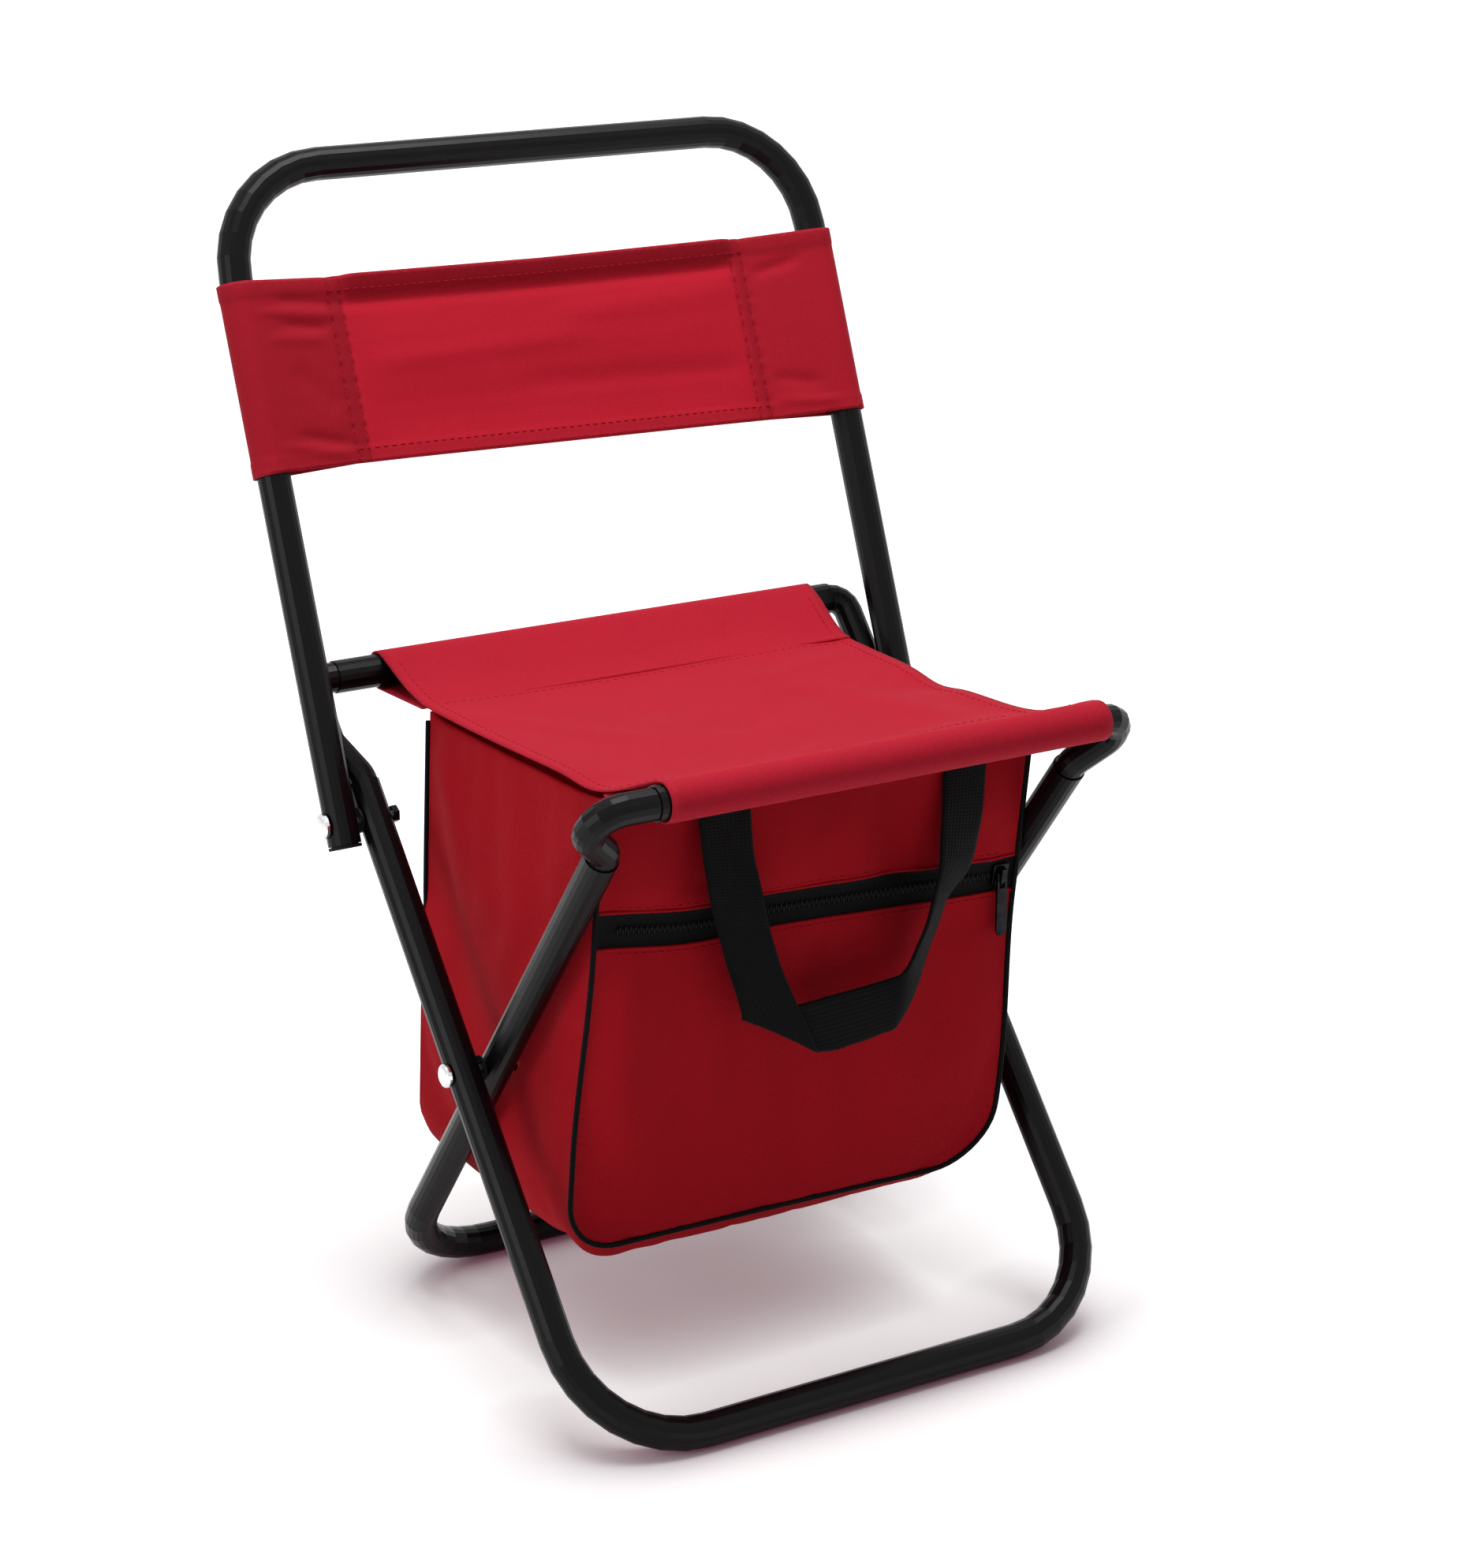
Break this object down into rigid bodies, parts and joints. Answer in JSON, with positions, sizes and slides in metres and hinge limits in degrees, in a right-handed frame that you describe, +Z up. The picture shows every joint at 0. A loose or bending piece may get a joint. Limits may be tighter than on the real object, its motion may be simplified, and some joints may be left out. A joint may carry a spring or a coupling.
{
  "type": "folding cooler stool",
  "caption": "Folding tube stool with a leaning tube backrest, a cloth sling seat and a zipped insulated cooler bag hanging under the seat.",
  "frame": {"origin": "centre of the footprint of the whole stool, on the floor", "axes": "+Z up, the front of the seat faces -Y, +X to the right of someone looking at the front"},
  "size_m": [0.3652, 0.3605, 0.5857],
  "materials": {
    "tube_paint": "black powder coat, semi-gloss",
    "bright_metal": "bright plated",
    "dark_steel": "dark plated",
    "black_plastic": "matt",
    "red_cloth": "coated woven polyester",
    "black_webbing": "woven webbing",
    "foil_lining": "foil-faced foam"
  },
  "bodies": {
    "outer_frame": {"outer_leg_frame": "tube_paint", "rear_seat_rail": "tube_paint", "rear_elbow_left": "tube_paint", "rear_elbow_right": "tube_paint", "backrest_bolt_left": "bright_metal", "backrest_bolt_right": "bright_metal", "backrest_spacer_left": "black_plastic", "backrest_spacer_right": "black_plastic", "backrest_nut_left": "dark_steel", "backrest_nut_right": "dark_steel", "leg_rivet_left": "bright_metal", "leg_rivet_right": "bright_metal", "leg_spacer_left": "black_plastic", "leg_spacer_right": "black_plastic", "seat_cloth": "red_cloth", "bag_front_upper": "red_cloth", "bag_front_lower": "red_cloth", "bag_back": "red_cloth", "bag_gusset": "red_cloth", "bag_top": "red_cloth", "bag_lining": "foil_lining", "bag_piping_front": "black_webbing", "bag_piping_back": "black_webbing", "zip_tape_upper": "black_webbing", "zip_tape_lower": "black_webbing", "zip_coil": "black_plastic"},
    "inner_frame": {"inner_leg_frame": "tube_paint", "front_seat_rail": "tube_paint", "front_elbow_left": "tube_paint", "front_elbow_right": "tube_paint"},
    "backrest": {"backrest_frame": "tube_paint", "backrest_end_plug_left": "black_plastic", "backrest_end_plug_right": "black_plastic", "backrest_band": "red_cloth"},
    "slider": {"zip_slider": "dark_steel"},
    "pull": {"zip_pull": "dark_steel"},
    "handle": {"carry_handle": "black_webbing"}
  },
  "joints": [
    {"name": "leg_fold", "type": "hinge", "parent": "outer_frame", "child": "inner_frame", "pos_m": [0, -0.03807, 0.16168], "axis": [-1, 0, 0], "range_deg": [0, 73], "deforming": ["seat_cloth"]},
    {"name": "backrest_fold", "type": "hinge", "parent": "outer_frame", "child": "backrest", "pos_m": [0, 0.05211, 0.268], "axis": [1, 0, 0], "range_deg": [0, 90]},
    {"name": "zip_slide", "type": "slide", "parent": "outer_frame", "child": "slider", "axis": [-0.9984, -0.0078, 0.0558], "range_m": [0, 0.226]},
    {"name": "pull_swing", "type": "hinge", "parent": "slider", "child": "pull", "pos_m": [0.11282, -0.1187, 0.23959], "axis": [-1, 0, 0], "range_deg": [0, 70]},
    {"name": "handle_swing", "type": "hinge", "parent": "outer_frame", "child": "handle", "pos_m": [0.014, -0.1282, 0.317], "axis": [-1, 0, 0], "range_deg": [0, 75]}
  ]
}
